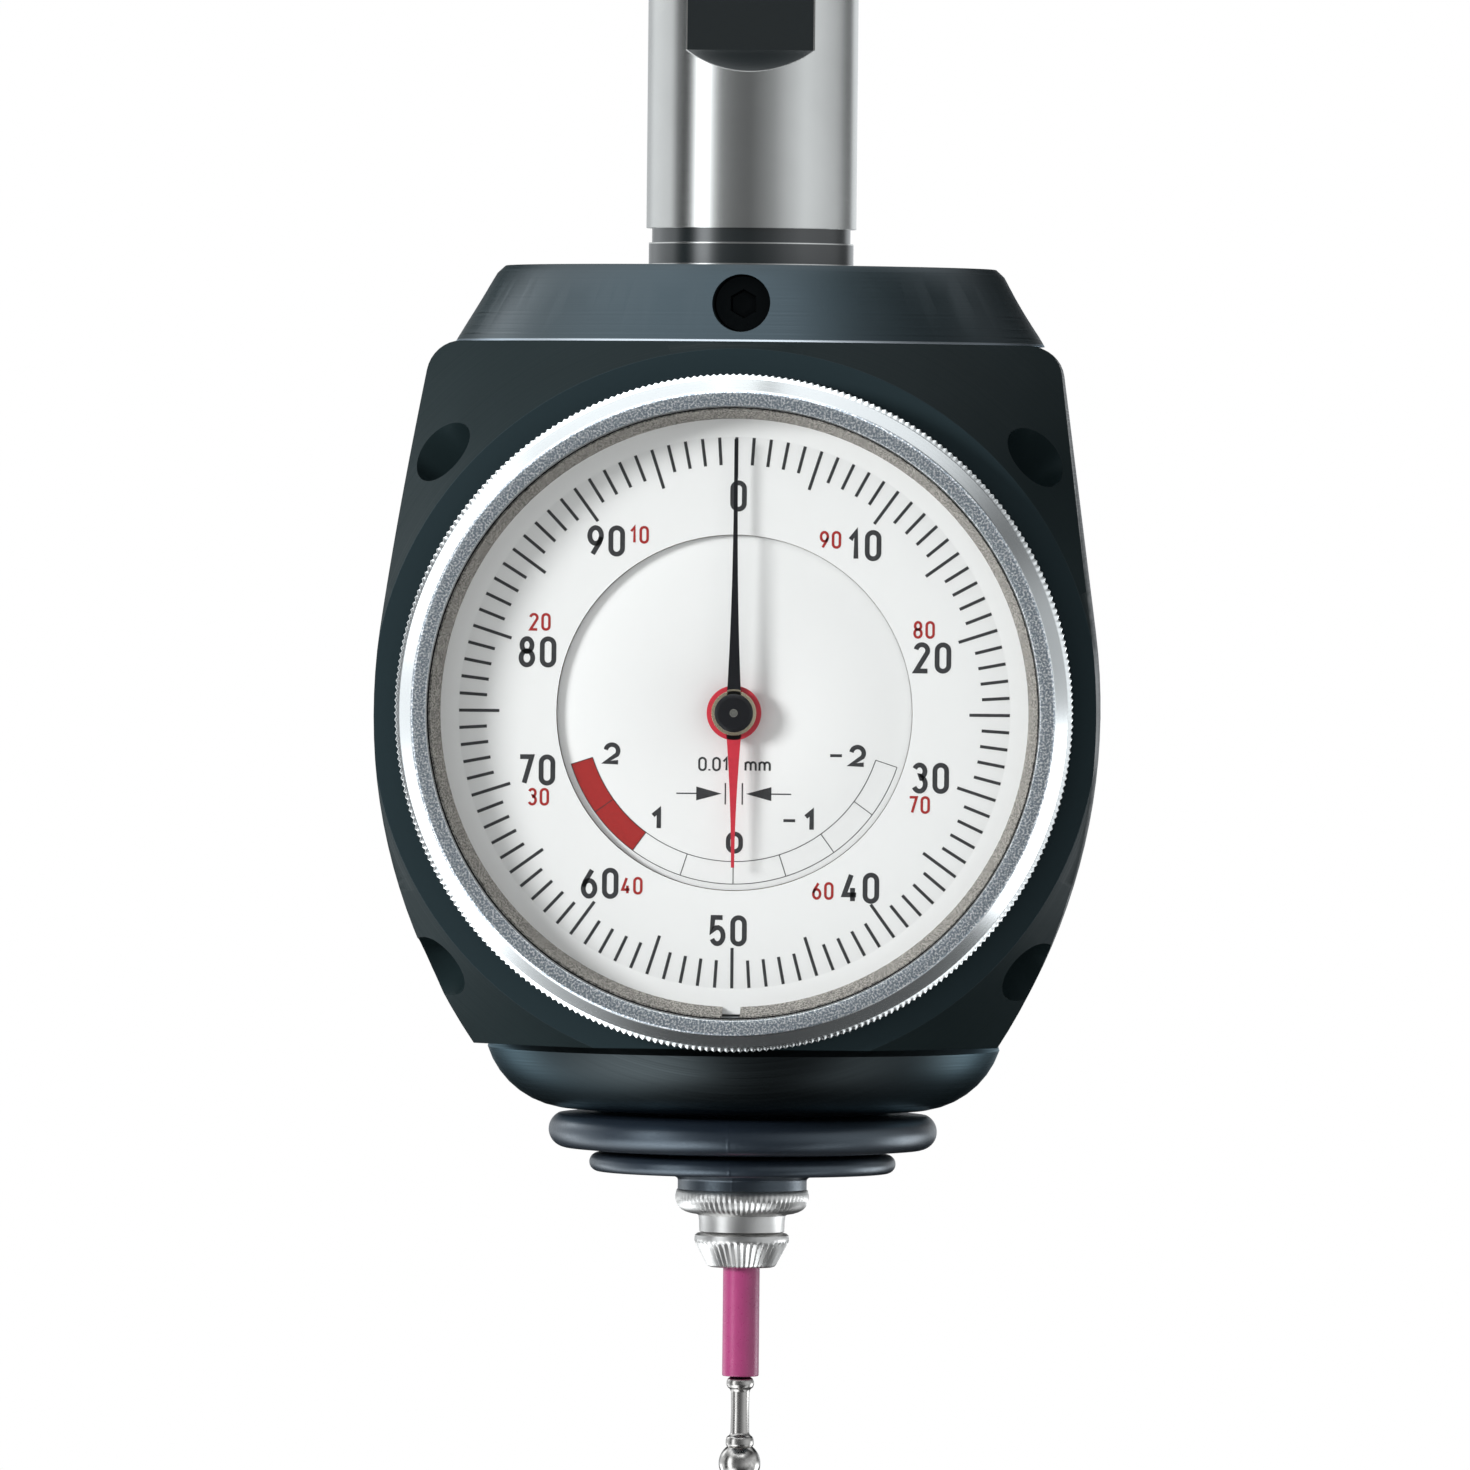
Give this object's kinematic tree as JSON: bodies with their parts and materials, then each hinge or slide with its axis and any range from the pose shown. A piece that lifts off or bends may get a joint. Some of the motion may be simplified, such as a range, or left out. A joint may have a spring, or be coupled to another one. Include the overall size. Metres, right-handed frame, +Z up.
{
  "type": "3d edge finder",
  "caption": "Round-backed dial edge finder with a cylindrical clamping shank, a turning dial bezel, two hands and a sprung ball-tipped probe under a folded rubber boot",
  "frame": {"origin": "on the shank's axis at the lower end of its ground length", "axes": "+Z up along the shank, away from the probe; the dial faces -Y; +X to the right as the dial is read"},
  "size_m": [0.0674, 0.0723, 0.1656],
  "materials": {
    "shank": "ground",
    "top_cap": "satin",
    "cap_screws": "blackened",
    "centring_screws": "blackened",
    "body_housing": "satin",
    "dial_screws": "blackened",
    "dial_case": "turned",
    "bezel_wire": "drawn",
    "rear_plate": "satin",
    "front_plate": "satin",
    "plate_posts": "turned",
    "plate_screws": "polished",
    "arbor_bushes": "turned",
    "dial_spacer": "turned",
    "fixed_dial": "satin",
    "hairspring": "blued",
    "guide_bush": "turned",
    "rod_bush": "turned",
    "return_spring": "drawn",
    "seat_cup": "ground",
    "boot_ring": "turned",
    "rubber_boot": "matte",
    "bezel_ring": "satin",
    "glass_seal": "matte",
    "dial_glass": "clear",
    "inner_ring": "satin",
    "turning_scale": "satin",
    "centre_arbor": "ground",
    "black_hand": "satin",
    "hand_cap": "polished",
    "red_hand_tube": "ground",
    "red_hand_wheel": "satin",
    "red_hand": "satin",
    "rack_pinion_arbor": "ground",
    "large_wheel": "satin",
    "transfer_wheel": "satin",
    "probe_slide": "ground",
    "plunger_rod": "ground",
    "rack_arm": "satin",
    "toothed_rack": "ground",
    "pivot_ball": "polished",
    "probe_holder": "ground",
    "holder_flange": "ground",
    "knurled_collar": "knurled",
    "collet_nut": "knurled",
    "breaking_sleeve": "glossy",
    "stylus_stem": "turned",
    "stylus_ball": "polished"
  },
  "bodies": {
    "housing": {"shank": "shank", "top_cap": "top_cap", "cap_screws": "cap_screws", "centring_screws": "centring_screws", "body_housing": "body_housing", "dial_screws": "dial_screws", "dial_case": "dial_case", "bezel_wire": "bezel_wire", "rear_plate": "rear_plate", "front_plate": "front_plate", "plate_posts": "plate_posts", "plate_screws": "plate_screws", "arbor_bushes": "arbor_bushes", "dial_spacer": "dial_spacer", "fixed_dial": "fixed_dial", "hairspring": "hairspring", "guide_bush": "guide_bush", "rod_bush": "rod_bush", "return_spring": "return_spring", "seat_cup": "seat_cup", "boot_ring": "boot_ring", "rubber_boot": "rubber_boot"},
    "bezel": {"bezel_ring": "bezel_ring", "glass_seal": "glass_seal", "dial_glass": "dial_glass", "inner_ring": "inner_ring", "turning_scale": "turning_scale"},
    "main_pointer": {"centre_arbor": "centre_arbor", "black_hand": "black_hand", "hand_cap": "hand_cap"},
    "red_pointer": {"red_hand_tube": "red_hand_tube", "red_hand_wheel": "red_hand_wheel", "red_hand": "red_hand"},
    "drive_arbor": {"rack_pinion_arbor": "rack_pinion_arbor", "large_wheel": "large_wheel", "transfer_wheel": "transfer_wheel"},
    "plunger": {"probe_slide": "probe_slide", "plunger_rod": "plunger_rod", "rack_arm": "rack_arm", "toothed_rack": "toothed_rack"},
    "pivot": {"pivot_ball": "pivot_ball"},
    "probe": {"probe_holder": "probe_holder", "holder_flange": "holder_flange", "knurled_collar": "knurled_collar", "collet_nut": "collet_nut", "breaking_sleeve": "breaking_sleeve", "stylus_stem": "stylus_stem", "stylus_ball": "stylus_ball"}
  },
  "joints": [
    {"name": "bezel_turn", "type": "hinge", "parent": "housing", "child": "bezel", "pos_m": [0, 0, -0.0456], "axis": [0, 1, 0], "continuous": true},
    {"name": "probe_plunge", "type": "slide", "parent": "housing", "child": "plunger", "axis": [0, 0, 1], "range_m": [-0.002, 0.002], "stiffness_N_per_m": 1500, "springref_m": 0.0003, "deforming": ["return_spring", "rubber_boot"]},
    {"name": "probe_tilt_x", "type": "hinge", "parent": "plunger", "child": "pivot", "pos_m": [0, 0, -0.076], "axis": [1, 0, 0], "range_deg": [-3, 3], "stiffness_Nm_per_rad": 1.5},
    {"name": "probe_tilt_y", "type": "hinge", "parent": "pivot", "child": "probe", "pos_m": [0, 0, -0.076], "axis": [0, 1, 0], "range_deg": [-3, 3], "stiffness_Nm_per_rad": 1.5},
    {"name": "black_hand_turn", "type": "hinge", "parent": "housing", "child": "main_pointer", "pos_m": [0, 0, -0.0456], "axis": [0, 1, 0], "range_deg": [-722, 722]},
    {"name": "red_hand_turn", "type": "hinge", "parent": "housing", "child": "red_pointer", "pos_m": [0, 0, -0.0456], "axis": [0, 1, 0], "range_deg": [-73, 73]},
    {"name": "drive_arbor_turn", "type": "hinge", "parent": "housing", "child": "drive_arbor", "pos_m": [-0.00159, 0, -0.03472], "axis": [0, 1, 0], "range_deg": [-73, 73]}
  ],
  "couplings": [
    {"joint": "black_hand_turn", "follows": "probe_plunge", "rad_per_m": 6283.2},
    {"joint": "red_hand_turn", "follows": "probe_plunge", "rad_per_m": 628.32},
    {"joint": "drive_arbor_turn", "follows": "probe_plunge", "rad_per_m": -628.32}
  ]
}
